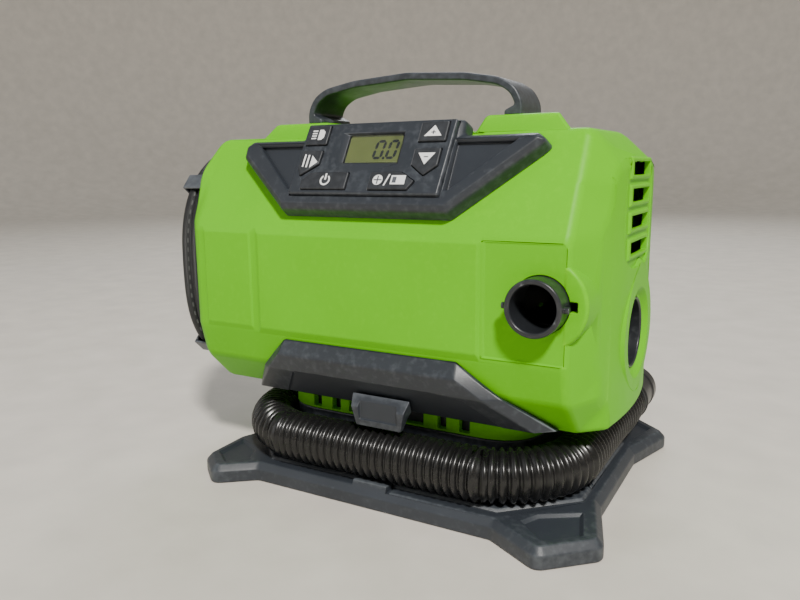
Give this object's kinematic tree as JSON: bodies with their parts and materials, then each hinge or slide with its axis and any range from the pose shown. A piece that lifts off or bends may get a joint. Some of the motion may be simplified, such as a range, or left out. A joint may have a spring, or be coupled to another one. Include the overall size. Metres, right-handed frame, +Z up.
{
  "type": "portable tire inflator",
  "caption": "Cordless tire inflator in a faceted case on a footed base, with a tilted control console, carry handle, wound corrugated air hose and coiled pressure hose.",
  "frame": {"origin": "middle of the base plate's flat underside", "axes": "+Z up, +X to the right along the front, -Y out of the front"},
  "size_m": [0.318, 0.2395, 0.2665],
  "materials": {
    "lime_plastic": "satin moulded",
    "dark_plastic": "fine textured moulding",
    "black_plastic": "semi-gloss moulding",
    "button_plastic": "soft touch",
    "rubber": "matte",
    "hose_rubber": "braided cover",
    "steel": "plain",
    "cast_alloy": "as cast",
    "gear_plastic": "moulded",
    "pale_plastic": "moulded",
    "clear_tube": "translucent tube",
    "clear_plastic": "clear window",
    "clear_lens": "frosted lens",
    "lcd_olive": "display glass",
    "circuit_board": "solder mask",
    "brass": "machined"
  },
  "bodies": {
    "inflator": {"base_plate": "dark_plastic", "neck_collar": "lime_plastic", "front_shell": "lime_plastic", "rear_shell": "lime_plastic", "foot_pad_front_right": "rubber", "foot_pad_rear_right": "rubber", "foot_pad_front_left": "rubber", "foot_pad_rear_left": "rubber", "front_trim": "dark_plastic", "rear_trim": "dark_plastic", "hose_tab": "dark_plastic", "control_bezel": "dark_plastic", "control_panel": "dark_plastic", "lcd_lens": "clear_plastic", "lcd_module": "lcd_olive", "control_board": "circuit_board", "carry_handle": "dark_plastic", "outlet_port": "black_plastic", "inlet_port": "black_plastic", "fan_housing": "black_plastic", "blower_motor": "steel", "pump_motor": "steel", "pump_frame": "cast_alloy", "cylinder": "cast_alloy", "cylinder_head": "cast_alloy", "pressure_sensor": "black_plastic", "air_tube": "clear_tube", "air_hose": "black_plastic", "cuff_end": "black_plastic", "cuff_start": "black_plastic", "pressure_hose": "hose_rubber", "hose_spool": "dark_plastic", "work_light": "clear_lens", "hose_clip_upper": "dark_plastic", "hose_clip_lower": "dark_plastic", "hose_gland": "brass", "chuck_body": "brass", "battery_dock": "black_plastic", "shell_screw_1": "steel", "shell_screw_2": "steel", "shell_screw_3": "steel", "shell_screw_4": "steel"},
    "impeller": {"impeller": "pale_plastic"},
    "pinion": {"pinion": "steel"},
    "crank_gear": {"crank_gear": "gear_plastic"},
    "connecting_rod": {"connecting_rod": "cast_alloy"},
    "piston": {"piston": "cast_alloy"},
    "battery_pack": {"battery_pack": "black_plastic"},
    "battery_latch": {"battery_latch": "lime_plastic"},
    "chuck_lever": {"chuck_lever": "dark_plastic"},
    "light_button": {"light_button": "button_plastic"},
    "start_button": {"start_button": "button_plastic"},
    "power_button": {"power_button": "button_plastic"},
    "mode_button": {"mode_button": "button_plastic"},
    "up_button": {"up_button": "button_plastic"},
    "down_button": {"down_button": "button_plastic"}
  },
  "joints": [
    {"name": "light_press", "type": "slide", "parent": "inflator", "child": "light_button", "axis": [0, 0.866, -0.5], "range_m": [0, 0.001], "stiffness_N_per_m": 900, "springref_m": -0.0005},
    {"name": "start_press", "type": "slide", "parent": "inflator", "child": "start_button", "axis": [0, 0.866, -0.5], "range_m": [0, 0.001], "stiffness_N_per_m": 900, "springref_m": -0.0005},
    {"name": "power_press", "type": "slide", "parent": "inflator", "child": "power_button", "axis": [0, 0.866, -0.5], "range_m": [0, 0.001], "stiffness_N_per_m": 900, "springref_m": -0.0005},
    {"name": "mode_press", "type": "slide", "parent": "inflator", "child": "mode_button", "axis": [0, 0.866, -0.5], "range_m": [0, 0.001], "stiffness_N_per_m": 900, "springref_m": -0.0005},
    {"name": "up_press", "type": "slide", "parent": "inflator", "child": "up_button", "axis": [0, 0.866, -0.5], "range_m": [0, 0.001], "stiffness_N_per_m": 900, "springref_m": -0.0005},
    {"name": "down_press", "type": "slide", "parent": "inflator", "child": "down_button", "axis": [0, 0.866, -0.5], "range_m": [0, 0.001], "stiffness_N_per_m": 900, "springref_m": -0.0005},
    {"name": "impeller_spin", "type": "hinge", "parent": "inflator", "child": "impeller", "pos_m": [0.096, 0, 0.104], "axis": [1, 0, 0], "continuous": true},
    {"name": "pinion_spin", "type": "hinge", "parent": "inflator", "child": "pinion", "pos_m": [-0.0435, 0.012, 0.096], "axis": [1, 0, 0], "continuous": true},
    {"name": "crank_gear_spin", "type": "hinge", "parent": "inflator", "child": "crank_gear", "pos_m": [-0.0435, 0.012, 0.126], "axis": [1, 0, 0], "continuous": true},
    {"name": "piston_stroke", "type": "slide", "parent": "inflator", "child": "piston", "axis": [0, 0, 1], "range_m": [-0.02, 0]},
    {"name": "rod_swing", "type": "hinge", "parent": "piston", "child": "connecting_rod", "pos_m": [-0.03355, 0.012, 0.176], "axis": [1, 0, 0], "range_deg": [-14, 14]},
    {"name": "battery_slide", "type": "slide", "parent": "inflator", "child": "battery_pack", "axis": [0, 0, 1], "range_m": [0, 0.11]},
    {"name": "latch_press", "type": "slide", "parent": "battery_pack", "child": "battery_latch", "axis": [0, -1, 0], "range_m": [0, 0.0025], "stiffness_N_per_m": 1200, "springref_m": -0.0005},
    {"name": "chuck_lever_pivot", "type": "hinge", "parent": "inflator", "child": "chuck_lever", "pos_m": [-0.1673, 0.0871, 0.1424], "axis": [1, 0, 0], "range_deg": [0, 75]}
  ],
  "couplings": [
    {"joint": "pinion_spin", "follows": "crank_gear_spin", "ratio": -4}
  ]
}
